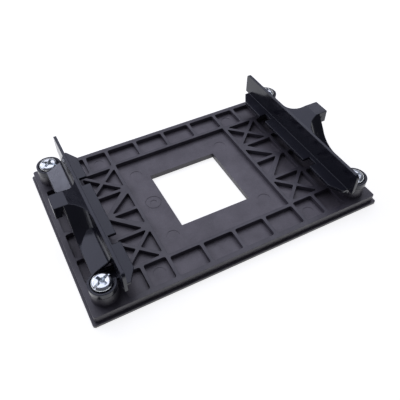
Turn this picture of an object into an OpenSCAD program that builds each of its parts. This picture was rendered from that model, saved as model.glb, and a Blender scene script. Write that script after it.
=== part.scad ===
// Processor cooler retention kit: a ribbed moulded backplate, two clip
// brackets standing on its four pillars, and the four screws with the
// threaded sleeves they run into.
// Millimetres. X along the long side, Y along the short side, Z up, the
// underside of the backplate on Z = 0 and the middle of the plate at X = Y = 0.

/* [Backplate] */
// Length over the lower flange
plate_length = 103.0; // [90:0.1:120]
// Width over the lower flange
plate_width = 67.8; // [60:0.1:80]
// Height of the lower flange
flange_height = 0.95; // [0.5:0.05:2]
// How far the lower flange stands out from the raised level
flange_step = 0.85; // [0.3:0.05:2]
// Height of the raised ribbed level
top_height = 3.65; // [3:0.05:6]
// Height of the pocket and recess floors
floor_height = 1.95; // [1:0.05:3]
// Corner radius of the plate
plate_corner = 0.8; // [0.5:0.1:4]
// Side of the square window
window_side = 26; // [20:0.1:34]
// Side of the square recess round the window
recess_side = 45.3; // [38:0.1:50]
// Corner radius of the pockets
pocket_corner = 0.7; // [0.3:0.1:1.5]
// Corner radius of the triangular pockets
truss_corner = 0.35; // [0.2:0.05:0.8]
// Width of the ribs
rib_width = 1.15; // [0.8:0.05:2]
// Wall left round the pockets at the edge of the raised level
rim_width = 1.7; // [1:0.05:3]
// Middle of the first rib along the long edge
edge_rib_1 = 11.6; // [9:0.1:14]
// Middle of the second rib along the long edge
edge_rib_2 = 31.85; // [29:0.05:34]
// End of the last pocket along the long edge
edge_end = 39.2; // [38:0.1:40]
// Outer side of the truss field
truss_end = 36.0; // [34:0.1:37]
// Middle of the rib between the truss cells
truss_rib_1 = 9.9; // [8:0.1:12]
// Middle of the rib along the outer truss cells
truss_rib_2 = 22.4; // [21:0.1:24]
// Where the middle diagonals meet
truss_node = 33.4; // [31:0.1:35]
// Middle of the rib between the pockets below a bracket, along X
under_rib_x = 42.95; // [41:0.05:45]
// Middle of the rib between the pockets below a bracket, along Y
under_rib_y = 11.3; // [9:0.1:13]
// End of the pockets below a bracket
under_end = 21.2; // [19:0.1:22]

/* [Screw pattern] */
// Spacing of the screws along the plate
pattern_x = 90; // [80:0.5:100]
// Spacing of the screws across the plate
pattern_y = 54; // [46:0.5:60]
// Radius of the four pillars
pillar_radius = 4.1; // [3.5:0.1:6]
// How much wider a pillar is at its foot
pillar_draft = 0.3; // [0:0.05:0.8]
// Height of the pillar tops, where the brackets rest
seat_height = 7.8; // [6:0.1:10]

/* [Moulding marks] */
// Depth of the shallow round marks
mark_depth = 0.1; // [0.05:0.05:0.3]
// Place of the marks in the recess, along the plate
recess_mark_x = 17.5; // [15:0.1:20]
// Place of the marks in the recess, along the plate's width
recess_mark_y = 15.6; // [14:0.1:18]
// Radius of the marks in the recess
recess_mark_radius = 2.2; // [1:0.1:3]
// Place of the marks by the long edges, along the plate
edge_mark_x = 27.4; // [25:0.1:30]
// Place of the marks by the long edges, along the plate's width
edge_mark_y = 27.6; // [26:0.1:29]
// How far the front left mark stands inwards of the other three
edge_mark_shift = 1.0; // [0:0.1:2]
// Radius of the marks by the long edges
edge_mark_radius = 2.0; // [1:0.1:3]
// Place of the ring, along the plate
ring_x = 17.2; // [15:0.1:20]
// Place of the ring, along the plate's width
ring_y = 0.6; // [0:0.1:3]
// Outside radius of the ring
ring_radius = 2.9; // [2:0.1:4]
// Width of the ring's groove
ring_width = 0.35; // [0.2:0.05:0.6]
// Radius of the disc inside the ring
ring_core = 1.1; // [0.5:0.1:2]

/* [Threaded sleeves] */
// Outside radius of the sleeve
sleeve_radius = 2.6; // [2.2:0.05:3.2]
// Bore radius of the sleeve
sleeve_bore = 1.78; // [1.5:0.01:2]
// Across-flats size of the hexagonal foot
sleeve_hex = 7.0; // [6:0.1:8]
// Height of the hexagonal foot
sleeve_foot = 1.4; // [1:0.1:2]
// How far the sleeve's ends sit below the plate's faces
sleeve_inset = 0.15; // [0.1:0.05:0.4]

/* [Brackets] */
// Inner face of the upright wall, from the middle of the plate
wall_x = 39.3; // [38:0.1:42]
// Thickness of the upright wall
wall_thickness = 1.0; // [0.8:0.1:2]
// Top of the upright wall
wall_top = 17.2; // [14:0.1:20]
// Underside of the wall's free ends
wall_bottom = 9.6; // [9:0.1:11]
// Half length of the upright wall
wall_half = 32.7; // [30:0.1:34]
// Inner edge of the shelf, from the middle of the plate
shelf_x = 35.0; // [33:0.1:38]
// Top of the shelf
shelf_top = 9.8; // [9:0.1:12]
// Thickness of the shelf and of the bracket skins
skin = 1.0; // [0.8:0.1:1.5]
// Half length of the shelf
shelf_half = 30.6; // [29:0.1:31.5]
// Length of the chamfered shelf end
shelf_chamfer = 4.4; // [2:0.1:6]
// Middle of a shelf notch, along the plate's width
notch_y = 13.9; // [10:0.1:18]
// Width of a shelf notch
notch_width = 3.7; // [2:0.1:6]
// Depth of a shelf notch
notch_depth = 2.7; // [1:0.1:3.5]
// Radius of the upper wall corners
wall_corner = 1.2; // [0.5:0.1:3]
// Outer edge of the sloping deck, from the middle of the plate
deck_x = 46.8; // [45:0.1:49]
// Height of the deck at its outer edge
deck_low = 9.9; // [9.5:0.1:12]
// Height of the deck where it meets the upright wall
deck_high = 13.4; // [11:0.1:15]
// Radius of the fillet between the deck and the upright wall
deck_fillet = 3.0; // [1:0.1:4]
// Radius of the screw bosses
boss_radius = 4.3; // [4:0.1:6]
// Radius of the screw wells
well_radius = 3.6; // [3.3:0.05:4]
// Floor of the screw wells
well_floor = 8.8; // [8.5:0.1:10]
// Radius of the screw holes
screw_hole = 1.95; // [1.8:0.05:2.3]

/* [Clip lugs] */
// Half width of the arched rise where it leaves the deck
foot_y = 15; // [13:0.1:18]
// Radius of the arch
arch_radius = 9.7; // [8:0.1:12]
// Half width of the rise where the arch ends
knee_y = 8.0; // [7:0.1:9]
// Inner end of the level top of the rise
ramp_x = 45.4; // [42:0.1:45.6]
// Radius of the blend between the rise and the wall
blend_radius = 3.8; // [2.5:0.1:5]
// Top of the lug
lug_top = 19.4; // [17:0.1:22]
// Outer end of the lug, from the middle of the plate
lug_x = 50.0; // [48:0.1:53]
// Half width of the lug
lug_half = 3.05; // [2:0.05:5]
// Thickness of the lug's top
lug_thickness = 1.5; // [1:0.1:2.5]
// Thickness of the turned-down lip
lip_thickness = 2.1; // [1:0.1:3]
// Underside of the turned-down lip
lip_bottom = 15.0; // [13:0.1:18]

/* [Screws] */
// Radius of the pan head
head_radius = 3.25; // [2.8:0.05:3.5]
// Height of the pan head
head_height = 2.1; // [1.5:0.1:2.5]
// Half length of the cross recess
cross_half = 1.9; // [1.2:0.1:2.2]
// Width of the cross recess
cross_width = 0.9; // [0.5:0.05:1.2]
// Depth of the cross recess
cross_depth = 1.4; // [0.8:0.1:1.6]
// Width of the slot
slot_width = 0.68; // [0.4:0.02:1]
// Depth of the slot
slot_depth = 0.7; // [0.3:0.05:1]
// Radius of the shank
shank_radius = 1.72; // [1.4:0.01:1.75]
// Lower end of the shank
shank_tip = 1.6; // [0.5:0.1:6]

/* [Hidden] */
$fn = 48;
overlap = 0.01;
through = 40;
col_plate = [0.10, 0.10, 0.12];
col_bracket = [0.13, 0.13, 0.15];
col_brass = [0.76, 0.62, 0.34];
col_zinc = [0.78, 0.80, 0.83];

// corner radius of the square recess
recess_corner = 0.5;
// how far below the crossed cell the middle diagonal meets the recess wall
middle_drop = 0.9;
// inset of the outer middle pocket's narrow end
nose_inset = 1.6;
// half width of the solid node where the middle diagonals meet
node_half = 1;
// gap between the deck's end and the screw's axis
deck_gap = 3;
// how far the rise is carried down into the deck
rise_root = 2;
// length of a blend between the rise and the wall
blend_length = 12;
// how far a blend is carried down into what it stands on
blend_root = 0.3;
// number of flats round a blend's arc
blend_flats = 8;
// clearance that a cutter needs above a boss
cutter = 12;

half_l = plate_length / 2;
half_w = plate_width / 2;
top_l = half_l - flange_step;
top_w = half_w - flange_step;

// a polygon with its corners rounded, from a list of corner points
function unit(v) = v / norm(v);
function corner_arc(a, p, b, r, n) =
    let (u = unit(a - p), w = unit(b - p), c = u * w,
         half = acos(max(-1, min(1, c))) / 2,
         d = min(r / tan(half), norm(a - p) * 0.45, norm(b - p) * 0.45),
         rr = d * tan(half),
         m = unit(u + w), q = p + m * (rr / sin(half)),
         s = p + u * d - q, t = p + w * d - q,
         a0 = atan2(s[1], s[0]), da0 = atan2(t[1], t[0]) - a0,
         da = da0 > 180 ? da0 - 360 : da0 < -180 ? da0 + 360 : da0)
    [for (i = [0:n]) q + rr * [cos(a0 + da * i / n), sin(a0 + da * i / n)]];
function rounded(p, r, n = 3) =
    [for (i = [0:len(p) - 1])
        each corner_arc(p[(i + len(p) - 1) % len(p)], p[i], p[(i + 1) % len(p)], r, n)];

// points of an arc round a middle, from one angle to another
function arc(middle, r, from, to) =
    [for (i = [0:blend_flats]) let (a = from + (to - from) * i / blend_flats)
        middle + r * [cos(a), sin(a)]];

module slab(x, y, r, z0, z1)
    translate([0, 0, z0]) linear_extrude(height = z1 - z0)
        polygon(rounded([[-x, -y], [x, -y], [x, y], [-x, y]], r, 5));

module pocket(p, r = pocket_corner)
    translate([0, 0, floor_height]) linear_extrude(height = top_height)
        polygon(rounded(p, r));

module pocket_box(x0, x1, y0, y1) pocket([[x0, y0], [x1, y0], [x1, y1], [x0, y1]]);

// one quarter of the pocket pattern, for the corner where X and Y are positive
half_rib = rib_width / 2;
recess_half = recess_side / 2;
truss_start = recess_half + rib_width;
truss_mid_x = (truss_start + truss_end) / 2;
truss_mid_y = (truss_rib_1 + truss_rib_2) / 2;
cell_low = truss_rib_1 + half_rib;
cell_high = truss_rib_2 - half_rib;
pocket_end_x = top_l - rim_width;
pocket_end_y = top_w - rim_width;
// a diagonal rib's half width, measured along X and along Y
cell_diagonal = norm([truss_end - truss_start, cell_high - cell_low]);
diagonal_x = half_rib * cell_diagonal / (cell_high - cell_low);
diagonal_y = half_rib * cell_diagonal / (truss_end - truss_start);
// the middle diagonal's height where it meets the recess wall
middle_y = truss_rib_1 - half_rib - middle_drop;
middle_rise = half_rib * norm([truss_node - truss_start, middle_y]) / (truss_node - truss_start);

module truss_pocket(p) pocket(p, truss_corner);

module truss_quarter() {
    // the crossed cell
    truss_pocket([[truss_mid_x, truss_mid_y + diagonal_y], [truss_end - diagonal_x, cell_high],
                  [truss_start + diagonal_x, cell_high]]);
    truss_pocket([[truss_mid_x, truss_mid_y - diagonal_y], [truss_start + diagonal_x, cell_low],
                  [truss_end - diagonal_x, cell_low]]);
    truss_pocket([[truss_mid_x - diagonal_x, truss_mid_y], [truss_start, cell_high - diagonal_y],
                  [truss_start, cell_low + diagonal_y]]);
    truss_pocket([[truss_mid_x + diagonal_x, truss_mid_y], [truss_end, cell_low + diagonal_y],
                  [truss_end, cell_high - diagonal_y]]);
    // half of the middle cell: inside the diagonal, and outside it
    truss_pocket([[truss_start, half_rib], [truss_node - node_half, half_rib],
                  [truss_start, middle_y - middle_rise]]);
    truss_pocket([[truss_start + nose_inset, truss_rib_1 - half_rib], [truss_end, truss_rib_1 - half_rib],
                  [truss_end, half_rib], [truss_node + node_half, half_rib]]);
}

module quarter() {
    // the row of pockets along the long edge
    pocket_box(half_rib, edge_rib_1 - half_rib, recess_half + rib_width, pocket_end_y);
    pocket_box(edge_rib_1 + half_rib, recess_half, recess_half + rib_width, pocket_end_y);
    pocket_box(truss_start, edge_rib_2 - half_rib, truss_rib_2 + half_rib, pocket_end_y);
    pocket_box(edge_rib_2 + half_rib, edge_end, truss_rib_2 + half_rib, pocket_end_y);
    truss_quarter();
    // the pockets below the bracket
    for (x = [[truss_end + rib_width, under_rib_x - half_rib], [under_rib_x + half_rib, pocket_end_x]]) {
        pocket_box(x[0], x[1], half_rib, under_rib_y - half_rib);
        pocket_box(x[0], x[1], under_rib_y + half_rib, under_end);
    }
}

// shallow round marks left by the ejector pins of the mould
module mark(x, y, r) translate([x, y, floor_height - mark_depth]) cylinder(r = r, h = 1);
module ring_mark(x, y, r, w) translate([x, y, floor_height - mark_depth]) difference() {
    cylinder(r = r, h = 1);
    translate([0, 0, -1]) cylinder(r = r - w, h = 3);
}

module at(x, y) translate([x * pattern_x / 2, y * pattern_y / 2, 0]) children();
module at_screws() for (x = [-1, 1], y = [-1, 1]) at(x, y) children();

module backplate() color(col_plate) difference() {
    union() {
        slab(half_l, half_w, plate_corner, 0, flange_height);
        slab(top_l, top_w, plate_corner, 0, top_height);
        at_screws() cylinder(r1 = pillar_radius + pillar_draft, r2 = pillar_radius, h = seat_height);
    }
    translate([-window_side / 2, -window_side / 2, -1]) cube([window_side, window_side, through]);
    slab(recess_half, recess_half, recess_corner, floor_height, through);
    for (x = [0, 1], y = [0, 1]) mirror([x, 0, 0]) mirror([0, y, 0]) quarter();
    // sleeve bores, with a hexagonal seat in the underside
    at_screws() {
        translate([0, 0, -1]) cylinder(r = sleeve_radius, h = through);
        translate([0, 0, -1]) cylinder(r = sleeve_hex_radius, h = 1 + sleeve_foot, $fn = 6);
    }
    for (x = [-1, 1], y = [-1, 1]) mark(x * recess_mark_x, y * recess_mark_y, recess_mark_radius);
    for (x = [-1, 1]) mark(x * edge_mark_x, edge_mark_y, edge_mark_radius);
    mark(edge_mark_x, -edge_mark_y, edge_mark_radius);
    mark(-edge_mark_x, edge_mark_shift - edge_mark_y, edge_mark_radius);
    ring_mark(-ring_x, ring_y, ring_radius, ring_width);
    mark(-ring_x, ring_y, ring_core);
}

sleeve_hex_radius = sleeve_hex / 2 / cos(30);
module sleeve() color(col_brass) difference() {
    union() {
        translate([0, 0, sleeve_inset])
            cylinder(r = sleeve_hex_radius, h = sleeve_foot - sleeve_inset, $fn = 6);
        translate([0, 0, sleeve_foot - overlap])
            cylinder(r = sleeve_radius, h = seat_height - sleeve_inset - sleeve_foot + overlap);
    }
    translate([0, 0, -1]) cylinder(r = sleeve_bore, h = through);
}

// the bracket is drawn for the right-hand side and turned for the left
back_x = wall_x + wall_thickness;
knee_z = deck_low + arch_radius - sqrt(pow(arch_radius, 2) - pow(foot_y - knee_y, 2));
flank_angle = atan((knee_y - lug_half) / (lug_top - knee_z));
deck_half = pattern_y / 2 - deck_gap;
deck_slope = (deck_high - deck_low) / (deck_x - back_x);
// middle of the deck's fillet, and its foot on the deck
slope_length = norm([deck_slope, 1]);
fillet_z = deck_high + deck_fillet * (slope_length - deck_slope);
fillet_foot = deck_fillet * (1 - deck_slope / slope_length);

// profile of the rise to the lug, seen along the plate: an arch at each foot
// and straight flanks above it
module rise_section(t) difference() {
    polygon([[-foot_y, deck_low - rise_root - t], [foot_y, deck_low - rise_root - t], [foot_y, knee_z - t],
             [knee_y - t / 2, knee_z - t], [lug_half - t / 2, lug_top - t],
             [t / 2 - lug_half, lug_top - t], [t / 2 - knee_y, knee_z - t], [-foot_y, knee_z - t]]);
    for (s = [-1, 1])
        translate([s * foot_y, deck_low + arch_radius - t]) circle(r = arch_radius, $fn = 96);
}

module rise(t) translate([back_x - overlap, 0, 0]) rotate([90, 0, 90])
    linear_extrude(height = deck_x - back_x + overlap) rise_section(t);

// concave blend between a flank of the rise and the wall
module blend() translate([back_x - overlap, knee_y, knee_z]) rotate([flank_angle, 0, 0])
    translate([0, -overlap, -rise_root]) linear_extrude(height = blend_length)
        polygon(concat([[0, -blend_root], [blend_radius, -blend_root]],
                       arc([blend_radius, blend_radius], blend_radius, 270, 180)));

// a shape drawn in X and Z, as wide as the whole bracket
module across(half) rotate([90, 0, 0]) translate([0, 0, -half]) linear_extrude(height = 2 * half) children();

// the rise seen along Y, with its ramp from the wall's top to the level top
module rise_outline(x0, x1, t) across(through)
    polygon([[x0, seat_height - t], [x1, seat_height - t], [x1, lug_top - t], [ramp_x, lug_top - t],
             [back_x, wall_top - t], [x0, wall_top - t]]);

module deck(x1, t) across(deck_half)
    polygon([[back_x - overlap, seat_height - t], [x1, seat_height - t],
             [x1, deck_low - t + (deck_x - x1) * deck_slope], [back_x - overlap, deck_high - t]]);

// concave fillet where the deck runs up into the wall, its ends just inside both
module deck_blend() translate([-overlap, 0, -overlap]) across(deck_half)
    polygon(concat([[back_x, deck_high - blend_root],
                    [back_x + fillet_foot, deck_high - fillet_foot * deck_slope - blend_root]],
                   arc([back_x + deck_fillet, fillet_z], deck_fillet, 180 + atan2(1, deck_slope), 180)));

// a round boss, joined to the wall on the side of the deck only
module boss_outline(r) {
    circle(r = r);
    translate([back_x - pattern_x / 2 - overlap, -r]) square([pattern_x / 2 - back_x + overlap, r]);
}

// both ends of the bracket, each with Y pointing away from the deck
module at_bosses() for (end = [0, 1]) mirror([0, end, 0])
    translate([pattern_x / 2, pattern_y / 2, 0]) children();

module wall() translate([wall_x, 0, 0]) rotate([90, 0, 90]) linear_extrude(height = wall_thickness)
    union() {
        translate([-wall_half, wall_bottom])
            square([2 * wall_half, wall_top - wall_corner - wall_bottom]);
        translate([wall_corner - wall_half, wall_bottom])
            square([2 * (wall_half - wall_corner), wall_top - wall_bottom]);
        for (s = [-1, 1]) translate([s * (wall_half - wall_corner), wall_top - wall_corner])
            circle(r = wall_corner);
        translate([-shelf_half, seat_height]) square([2 * shelf_half, wall_bottom - seat_height + overlap]);
    }

module shelf() translate([0, 0, shelf_top - skin]) linear_extrude(height = skin) difference() {
    polygon([[shelf_x, shelf_chamfer - shelf_half], [shelf_x + notch_depth, -shelf_half],
             [back_x, -shelf_half], [back_x, shelf_half], [shelf_x + notch_depth, shelf_half],
             [shelf_x, shelf_half - shelf_chamfer]]);
    for (s = [-1, 1]) translate([shelf_x - 1, s * notch_y - notch_width / 2])
        square([notch_depth + 1, notch_width]);
}

module bracket() difference() {
    union() {
        wall();
        shelf();
        // deck and rise, hollow below
        difference() {
            union() {
                deck(deck_x, 0);
                deck_blend();
                intersection() {
                    union() {
                        rise(0);
                        blend();
                        mirror([0, 1, 0]) blend();
                    }
                    rise_outline(back_x - overlap, deck_x, 0);
                }
            }
            intersection() {
                union() {
                    deck(deck_x - skin, skin);
                    rise(skin);
                }
                rise_outline(back_x, deck_x - skin, skin);
            }
        }
        // lug and its turned-down lip
        translate([deck_x - overlap, -lug_half, lug_top - lug_thickness])
            cube([lug_x - deck_x + overlap, 2 * lug_half, lug_thickness]);
        translate([lug_x - lip_thickness, -lug_half, lip_bottom])
            cube([lip_thickness, 2 * lug_half, lug_top - lip_bottom]);
        // bosses
        at_bosses() translate([0, 0, seat_height]) linear_extrude(height = deck_low - seat_height)
            boss_outline(boss_radius);
    }
    // screw wells and holes
    at_bosses() {
        translate([0, 0, well_floor]) linear_extrude(height = cutter) boss_outline(well_radius);
        cylinder(r = screw_hole, h = through);
    }
}

module bracket_right() color(col_bracket) bracket();
module bracket_left() color(col_bracket) rotate([0, 0, 180]) bracket();

// pan head: a short skirt, a domed top, a cross recess and a slot
skirt = 0.95;
skirt_edge = 0.15;
dome = 1.3;
point = 0.7;
point_taper = 0.5;
cross_flare = 1.1;
head_top = well_floor + head_height;
module screw() color(col_zinc) difference() {
    union() {
        translate([0, 0, well_floor]) rotate_extrude($fn = 64)
            polygon(concat([[0, 0], [head_radius - skirt_edge, 0], [head_radius, skirt_edge],
                            [head_radius, skirt]],
                [for (a = [10:10:90]) [head_radius - dome + dome * cos(a),
                                       skirt + (head_height - skirt) * sin(a)]],
                [[0, head_height]]));
        translate([0, 0, shank_tip]) cylinder(r1 = shank_radius - point_taper, r2 = shank_radius, h = point);
        translate([0, 0, shank_tip + point - overlap])
            cylinder(r = shank_radius, h = well_floor - shank_tip - point + 2 * overlap);
    }
    for (a = [0, 90]) rotate([0, 0, a]) translate([-cross_half, -cross_width / 2, head_top - cross_depth])
        cube([2 * cross_half, cross_width, through]);
    translate([-through / 2, -slot_width / 2, head_top - slot_depth]) cube([through, slot_width, through]);
    translate([0, 0, head_top - cross_depth])
        cylinder(r1 = cross_width / 2, r2 = cross_width * cross_flare, h = cross_depth + overlap);
}

module sleeve_fl() at(-1, -1) sleeve();
module sleeve_fr() at(1, -1) sleeve();
module sleeve_bl() at(-1, 1) sleeve();
module sleeve_br() at(1, 1) sleeve();
module screw_fl() at(-1, -1) rotate([0, 0, 27]) screw();
module screw_fr() at(1, -1) rotate([0, 0, 75]) screw();
module screw_bl() at(-1, 1) rotate([0, 0, -43]) screw();
module screw_br() at(1, 1) rotate([0, 0, 120]) screw();

backplate();
sleeve_fl();
sleeve_fr();
sleeve_bl();
sleeve_br();
bracket_left();
bracket_right();
screw_fl();
screw_fr();
screw_bl();
screw_br();
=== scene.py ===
"""Looks of a processor cooler retention kit: backplate, two clip brackets, screws and sleeves.

Everything is in metres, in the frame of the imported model: +X along the plate, +Z up, and the
plate's underside on Z = 0.
"""
import math

import bmesh
import bpy
from mathutils import Euler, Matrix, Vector


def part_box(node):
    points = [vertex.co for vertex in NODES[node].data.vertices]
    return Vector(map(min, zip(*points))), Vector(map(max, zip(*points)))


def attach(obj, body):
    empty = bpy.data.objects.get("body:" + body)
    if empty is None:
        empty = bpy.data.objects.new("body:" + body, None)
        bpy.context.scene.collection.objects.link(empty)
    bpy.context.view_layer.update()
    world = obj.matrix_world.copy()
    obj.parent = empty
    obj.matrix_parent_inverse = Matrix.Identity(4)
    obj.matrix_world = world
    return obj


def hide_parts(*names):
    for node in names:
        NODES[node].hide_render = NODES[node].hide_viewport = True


MM = 0.001
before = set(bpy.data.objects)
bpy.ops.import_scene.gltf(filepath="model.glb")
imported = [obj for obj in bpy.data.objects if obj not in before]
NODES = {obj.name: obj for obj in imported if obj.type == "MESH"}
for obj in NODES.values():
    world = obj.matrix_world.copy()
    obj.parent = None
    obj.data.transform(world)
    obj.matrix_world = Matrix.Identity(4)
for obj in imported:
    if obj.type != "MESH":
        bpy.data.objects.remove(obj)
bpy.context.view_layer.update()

CORNERS = ("fl", "fr", "bl", "br")
SIDES = ("left", "right")


# ---------------------------------------------------------------- node helpers

NOISE_ROUGHNESS = 0.55      # how strongly the finer layers of a noise show
NOISE_BAND = (0.3, 0.7)     # most values of a noise lie between these
EDGE_SAMPLES = 6            # rays that the edge rounding takes
LOOKS_UP = 0.5              # least Z of the normal of a face that counts as looking up


class Shader:
    """A material's node tree, built with short calls."""

    def __init__(self, name):
        self.material = bpy.data.materials.new(name)
        self.material.use_nodes = True
        self.tree = self.material.node_tree
        self.surface = self.tree.nodes["Principled BSDF"]
        self.place = self.add("ShaderNodeTexCoord").outputs["Object"]

    def add(self, kind, **values):
        node = self.tree.nodes.new(kind)
        for key, value in values.items():
            setattr(node, key, value)
        return node

    def link(self, source, target):
        self.tree.links.new(source, target)

    def set(self, **values):
        """Sets the surface's own sockets; an underscore stands for a space."""
        for key, value in values.items():
            self.surface.inputs[key.replace("_", " ")].default_value = value

    def noise(self, size, detail, stretch=(1, 1, 1)):
        """Noise whose features are about size metres across."""
        mapping = self.add("ShaderNodeMapping")
        mapping.inputs["Scale"].default_value = [s / size for s in stretch]
        self.link(self.place, mapping.inputs["Vector"])
        node = self.add("ShaderNodeTexNoise")
        node.inputs["Scale"].default_value = 1.0
        node.inputs["Detail"].default_value = detail
        node.inputs["Roughness"].default_value = NOISE_ROUGHNESS
        self.link(mapping.outputs["Vector"], node.inputs["Vector"])
        return node.outputs["Fac"]

    def ramp(self, source, stops):
        """Colours along a value: stops holds two pairs (position, colour)."""
        node = self.add("ShaderNodeValToRGB")
        for element, (position, colour) in zip(node.color_ramp.elements, stops):
            element.position = position
            element.color = (*colour, 1)
        self.link(source, node.inputs["Fac"])
        return node.outputs["Color"]

    def spread(self, source, low, high):
        """Maps the usual band of a noise to low..high."""
        node = self.add("ShaderNodeMapRange")
        start, end = NOISE_BAND
        for name, value in (("From Min", start), ("From Max", end),
                            ("To Min", low), ("To Max", high)):
            node.inputs[name].default_value = value
        self.link(source, node.inputs["Value"])
        return node.outputs["Result"]

    def math(self, operation, a, b):
        """One step of arithmetic on sockets or plain numbers."""
        node = self.add("ShaderNodeMath", operation=operation)
        for socket, value in zip(node.inputs, (a, b)):
            if isinstance(value, (int, float)):
                socket.default_value = value
            else:
                self.link(value, socket)
        return node.outputs["Value"]

    def bump(self, height, depth, strength, below):
        """Bump of depth metres, on top of the normals below it."""
        node = self.add("ShaderNodeBump")
        node.inputs["Strength"].default_value = strength
        node.inputs["Distance"].default_value = depth
        self.link(height, node.inputs["Height"])
        self.link(below, node.inputs["Normal"])
        return node.outputs["Normal"]

    def soft_edges(self, radius):
        """Normals that run round the sharp edges of the mesh."""
        node = self.add("ShaderNodeBevel", samples=EDGE_SAMPLES)
        node.inputs["Radius"].default_value = radius
        return node.outputs["Normal"]

    def floors(self, low, high):
        """1 on faces that look up and lie between two heights, 0 elsewhere."""
        split = self.add("ShaderNodeSeparateXYZ")
        self.link(self.place, split.inputs["Vector"])
        height = split.outputs["Z"]
        between = self.math("MULTIPLY", self.math("GREATER_THAN", height, low),
                            self.math("LESS_THAN", height, high))
        facing = self.add("ShaderNodeSeparateXYZ")
        self.link(self.add("ShaderNodeNewGeometry").outputs["True Normal"], facing.inputs["Vector"])
        return self.math("MULTIPLY", between,
                         self.math("GREATER_THAN", facing.outputs["Z"], LOOKS_UP))

    def mix(self, factor, first, second):
        """Colour that goes from first to second with a factor."""
        node = self.add("ShaderNodeMix", data_type="RGBA")
        sockets = {socket.identifier: socket for socket in node.inputs}
        self.link(factor, sockets["Factor_Float"])
        self.link(first, sockets["A_Color"])
        self.link(second, sockets["B_Color"])
        return next(socket for socket in node.outputs if socket.identifier == "Result_Color")


# ------------------------------------------------------------- kinds of material

CLOUD_SIZE = 9 * MM             # slow changes of tone in the plastic
CLOUD_SHARE = 0.7
SPECK_SIZE = 0.35 * MM          # fine changes of tone in the plastic
SPECK_SHARE = 0.3
TONE_BAND = (0.32, 0.68)        # the tone is wholly dark below it and wholly light above it
PATCH_SIZE = 3.5 * MM           # duller and shinier patches of the plastic
PATCH_SHINIER = 0.05            # how far a patch's roughness goes below the plastic's own
PATCH_DULLER = 0.06             # and above it
ERODED_DULLER = 0.06            # added to the roughness where the mould was eroded
FLOW_SIZE = 6 * MM              # marks where the melt flowed
FLOW_STRETCH = (1, 2.2, 1)
FLOW_DEPTH = 0.012 * MM
FLOW_STRENGTH = 0.5
GRAIN_STRENGTH = 0.6
PLASTIC_IOR = 1.52

TINT_SIZE = 2.2 * MM            # patches of tint on the metals
WEAR_SIZE = 0.5 * MM            # duller and shinier spots of the metals
WEAR_SHINIER = 0.05
WEAR_DULLER = 0.09
BRUSH_STRETCH = (0.25, 0.25, 1)  # turning lines run round the upright axis
BRUSH_DEPTH = 0.004 * MM
BRUSH_STRENGTH = 0.5
DENT_SIZE = 1.1 * MM
DENT_DEPTH = 0.02 * MM
DENT_STRENGTH = 0.35
METAL_EDGE = 0.15 * MM          # rounding of the metals' edges


def moulded_plastic(name, dark, light, roughness, grain, grain_depth, gloss, edge, tint,
                    eroded=None):
    """Black moulded plastic: cloudy tone, fine spark-eroded grain and faint flow marks.

    eroded gives a paler, duller texture on faces that look up: (low, high, dark, light)."""
    s = Shader(name)
    cloud = s.noise(CLOUD_SIZE, detail=4)
    speck = s.noise(SPECK_SIZE, detail=2)
    tone = s.math("ADD", s.math("MULTIPLY", cloud, CLOUD_SHARE),
                  s.math("MULTIPLY", speck, SPECK_SHARE))
    colour = s.ramp(tone, zip(TONE_BAND, (dark, light)))
    patches = s.noise(PATCH_SIZE, detail=3)
    dullness = s.spread(patches, roughness - PATCH_SHINIER, roughness + PATCH_DULLER)
    if eroded:
        low, high, pale_dark, pale_light = eroded
        where = s.floors(low, high)
        colour = s.mix(where, colour, s.ramp(tone, zip(TONE_BAND, (pale_dark, pale_light))))
        dullness = s.math("ADD", dullness, s.math("MULTIPLY", where, ERODED_DULLER))
    s.link(colour, s.surface.inputs["Base Color"])
    s.link(dullness, s.surface.inputs["Roughness"])
    flow = s.bump(s.noise(FLOW_SIZE, detail=1, stretch=FLOW_STRETCH), FLOW_DEPTH, FLOW_STRENGTH,
                  below=s.soft_edges(edge))
    fine = s.bump(s.noise(grain, detail=2), grain_depth, GRAIN_STRENGTH, below=flow)
    s.link(fine, s.surface.inputs["Normal"])
    s.set(Specular_IOR_Level=gloss, Specular_Tint=(*tint, 1), IOR=PLASTIC_IOR)
    return s.material


def plated_metal(name, tints, roughness, brush):
    """Bright plated or turned metal: a faint tint that wanders, turning lines and small dents."""
    s = Shader(name)
    s.set(Metallic=1.0)
    tint = s.ramp(s.noise(TINT_SIZE, detail=3), zip(NOISE_BAND, tints))
    s.link(tint, s.surface.inputs["Base Color"])
    wear = s.noise(WEAR_SIZE, detail=4)
    s.link(s.spread(wear, roughness - WEAR_SHINIER, roughness + WEAR_DULLER),
           s.surface.inputs["Roughness"])
    lines = s.noise(brush, detail=2, stretch=BRUSH_STRETCH)
    grain = s.bump(lines, BRUSH_DEPTH, BRUSH_STRENGTH, below=s.soft_edges(METAL_EDGE))
    dents = s.bump(s.noise(DENT_SIZE, detail=1), DENT_DEPTH, DENT_STRENGTH, below=grain)
    s.link(dents, s.surface.inputs["Normal"])
    return s.material


def paint(node, material):
    """Makes one material the only one of a CAD node's object."""
    slots = NODES[node].data.materials
    slots.clear()
    slots.append(material)


# ------------------------------------------------------- materials of the pieces

RECESS_FLOORS = (1.5 * MM, 2.1 * MM)    # heights between which the plate's sunk floors lie

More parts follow.
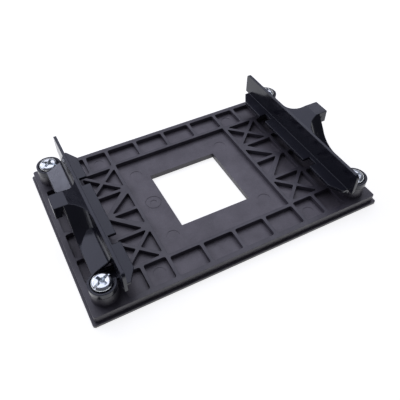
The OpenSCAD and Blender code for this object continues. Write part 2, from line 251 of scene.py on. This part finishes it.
PLATE = moulded_plastic(
    "plate_plastic", (0.058, 0.053, 0.070), (0.098, 0.091, 0.114), roughness=0.40,
    grain=0.42 * MM, grain_depth=0.030 * MM, gloss=0.68, edge=0.09 * MM, tint=(1, 1, 1),
    eroded=(*RECESS_FLOORS, (0.095, 0.086, 0.104), (0.185, 0.170, 0.198)))
BRACKET = moulded_plastic(
    "bracket_plastic", (0.015, 0.015, 0.023), (0.022, 0.023, 0.034), roughness=0.17,
    grain=0.60 * MM, grain_depth=0.001 * MM, gloss=0.5, edge=0.35 * MM, tint=(0.88, 0.91, 1.0))
ZINC = plated_metal("zinc_plate", ((0.74, 0.81, 0.87), (0.93, 0.94, 0.92)),
                    roughness=0.21, brush=0.12 * MM)
BRASS = plated_metal("turned_brass", ((0.76, 0.64, 0.42), (0.84, 0.73, 0.52)),
                     roughness=0.26, brush=0.15 * MM)

paint("backplate", PLATE)
for side in SIDES:
    paint("bracket_" + side, BRACKET)
for corner in CORNERS:
    paint("sleeve_" + corner, BRASS)


# ----------------------------------------------------------------------- screws

HEAD_SEAT = 8.8 * MM        # underside of the heads, on the floors of the brackets' wells
SHANK_RADIUS = 1.72 * MM    # over the crests of the thread
THREAD_DEPTH = 0.24 * MM
THREAD_PITCH = 0.6 * MM
PLAIN_NECK = 0.5 * MM       # length below the head where the thread has run out
POINT = 0.7 * MM            # length of the tapered point
POINT_TAPER = 0.5 * MM      # how much narrower the tip is
COLUMNS = 32                # faces round a shank
ROWS_PER_TURN = 8           # faces along one turn of the thread
SAME_POINT = 0.0005 * MM    # vertices closer than this are one
BELOW_SEAT = 0.05 * MM      # faces further than this below the seat belong to the shank
IN_HEAD = 0.2 * MM          # how far the threaded shank reaches up into the head
SHARP = math.radians(35)    # edges that bend more than this stay sharp


def screw_head(node):
    """The head of a CAD screw alone, closed where its shank was."""
    mesh = bmesh.new()
    mesh.from_mesh(NODES[node].data)
    bmesh.ops.remove_doubles(mesh, verts=mesh.verts, dist=SAME_POINT)
    shank = [face for face in mesh.faces if face.calc_center_median().z < HEAD_SEAT - BELOW_SEAT]
    bmesh.ops.delete(mesh, geom=shank, context="FACES")
    rim = [edge for edge in mesh.edges if edge.is_boundary]
    bmesh.ops.holes_fill(mesh, edges=rim, sides=0)
    return mesh


def shank_radius(z, turn, tip):
    """Radius of the threaded shank at a height and a fraction of a turn."""
    crest = abs(((z / THREAD_PITCH - turn) % 1) * 2 - 1)
    run_out = min(1, max(0, (HEAD_SEAT - PLAIN_NECK - z) / THREAD_PITCH))
    taper = POINT_TAPER * max(0, 1 - (z - tip) / POINT)
    return SHANK_RADIUS - THREAD_DEPTH * (1 - crest) * run_out - taper


def add_shank(mesh, x, y, tip, top):
    """Adds a closed shank with a helical thread round a vertical axis."""
    rows = round((top - tip) / THREAD_PITCH * ROWS_PER_TURN)
    rings = []
    for row in range(rows + 1):
        z = tip + (top - tip) * row / rows
        ring = []
        for column in range(COLUMNS):
            turn = column / COLUMNS
            radius = shank_radius(z, turn, tip)
            angle = 2 * math.pi * turn
            ring.append(mesh.verts.new((x + radius * math.cos(angle),
                                        y + radius * math.sin(angle), z)))
        rings.append(ring)
    for lower, upper in zip(rings, rings[1:]):
        for i in range(COLUMNS):
            j = (i + 1) % COLUMNS
            mesh.faces.new((lower[i], lower[j], upper[j], upper[i]))
    mesh.faces.new(rings[0][::-1])
    mesh.faces.new(rings[-1])


def threaded_screw(corner):
    """A screw with a real thread, in the place of the plain CAD one."""
    node = "screw_" + corner
    low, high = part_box(node)
    mesh = screw_head(node)
    add_shank(mesh, (low[0] + high[0]) / 2, (low[1] + high[1]) / 2, low[2], HEAD_SEAT + IN_HEAD)
    for face in mesh.faces:
        face.smooth = True
    for edge in mesh.edges:
        edge.smooth = edge.is_manifold and edge.calc_face_angle() < SHARP
    data = bpy.data.meshes.new("threaded_" + node)
    mesh.to_mesh(data)
    mesh.free()
    data.materials.append(ZINC)
    piece = bpy.data.objects.new("threaded_" + node, data)
    bpy.context.scene.collection.objects.link(piece)
    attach(piece, "screw_body_" + corner)
    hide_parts(node)


for corner in CORNERS:
    threaded_screw(corner)


# ------------------------------------------------------- floor, light and camera

FLOOR_HALF = 3.0            # half the side of the table
FLOOR_DROP = 0.02 * MM      # its gap below the plate's underside
FLOOR_GREY = 0.60
FLOOR_GLOW = 0.80

COOL = (0.95, 0.96, 1.12)   # the lights' colour
AMBIENT = 0.09
SOFT_BOXES = (              # name, place, size, brightness
    ("back", (0.12, 0.40, 0.74), (1.05, 0.85), 1.10),
    ("side", (-0.55, 0.38, 0.42), (0.40, 0.40), 1.2),
    ("low", (-0.36, 0.66, 0.33), (0.30, 0.24), 3.0),
)

SENSOR = 36.0               # width, in Blender's millimetres
LENS = 42.70
LENS_SHIFT = 0.0337         # the picture's middle lies this far beside the lens's axis
CAMERA_NEAR = 0.01
CAMERA_PLACE = (-54.95 * MM, -103.26 * MM, 123.79 * MM)
CAMERA_TURN = (42.244, 0.940, -26.914)      # degrees about X, Y and Z


def floor():
    """A pale studio table, wide enough that it fills the camera's view.

    It shows in reflections, but its glow doesn't light the object from below."""
    s = Shader("floor_paper")
    s.set(Base_Color=(FLOOR_GREY, FLOOR_GREY, FLOOR_GREY, 1), Roughness=0.9,
          Specular_IOR_Level=0.1, Emission_Color=(1, 1, 1, 1), Emission_Strength=FLOOR_GLOW)
    half = FLOOR_HALF
    mesh = bpy.data.meshes.new("floor")
    corners = [(-half, -half, 0), (half, -half, 0), (half, half, 0), (-half, half, 0)]
    mesh.from_pydata(corners, [], [(0, 1, 2, 3)])
    mesh.materials.append(s.material)
    piece = bpy.data.objects.new("floor", mesh)
    piece.location.z = -FLOOR_DROP
    piece.visible_diffuse = False
    bpy.context.scene.collection.objects.link(piece)


def soft_box(name, place, size, brightness):
    """A rectangular area light that looks at the origin; brightness is its surface's radiance."""
    data = bpy.data.lights.new(name, "AREA")
    data.shape = "RECTANGLE"
    data.size, data.size_y = size
    data.energy = brightness * math.pi * size[0] * size[1]
    data.color = COOL
    light = bpy.data.objects.new(name, data)
    light.location = place
    light.rotation_euler = (-Vector(place)).to_track_quat("-Z", "Y").to_euler()
    bpy.context.scene.collection.objects.link(light)


def studio():
    """A dim cool surround and the soft boxes, shown without a film curve."""
    world = bpy.data.worlds.new("studio")
    bpy.context.scene.world = world
    world.use_nodes = True
    background = world.node_tree.nodes["Background"]
    background.inputs["Color"].default_value = (*COOL, 1)
    background.inputs["Strength"].default_value = AMBIENT
    for box in SOFT_BOXES:
        soft_box(*box)
    bpy.context.scene.view_settings.view_transform = "Standard"


def camera():
    """The photograph's viewpoint, from the front left and well above."""
    data = bpy.data.cameras.new("camera")
    data.sensor_width = SENSOR
    data.lens = LENS
    data.shift_x = LENS_SHIFT
    data.clip_start = CAMERA_NEAR
    piece = bpy.data.objects.new("camera", data)
    piece.location = CAMERA_PLACE
    piece.rotation_euler = Euler([math.radians(angle) for angle in CAMERA_TURN])
    bpy.context.scene.collection.objects.link(piece)
    bpy.context.scene.camera = piece


floor()
studio()
camera()
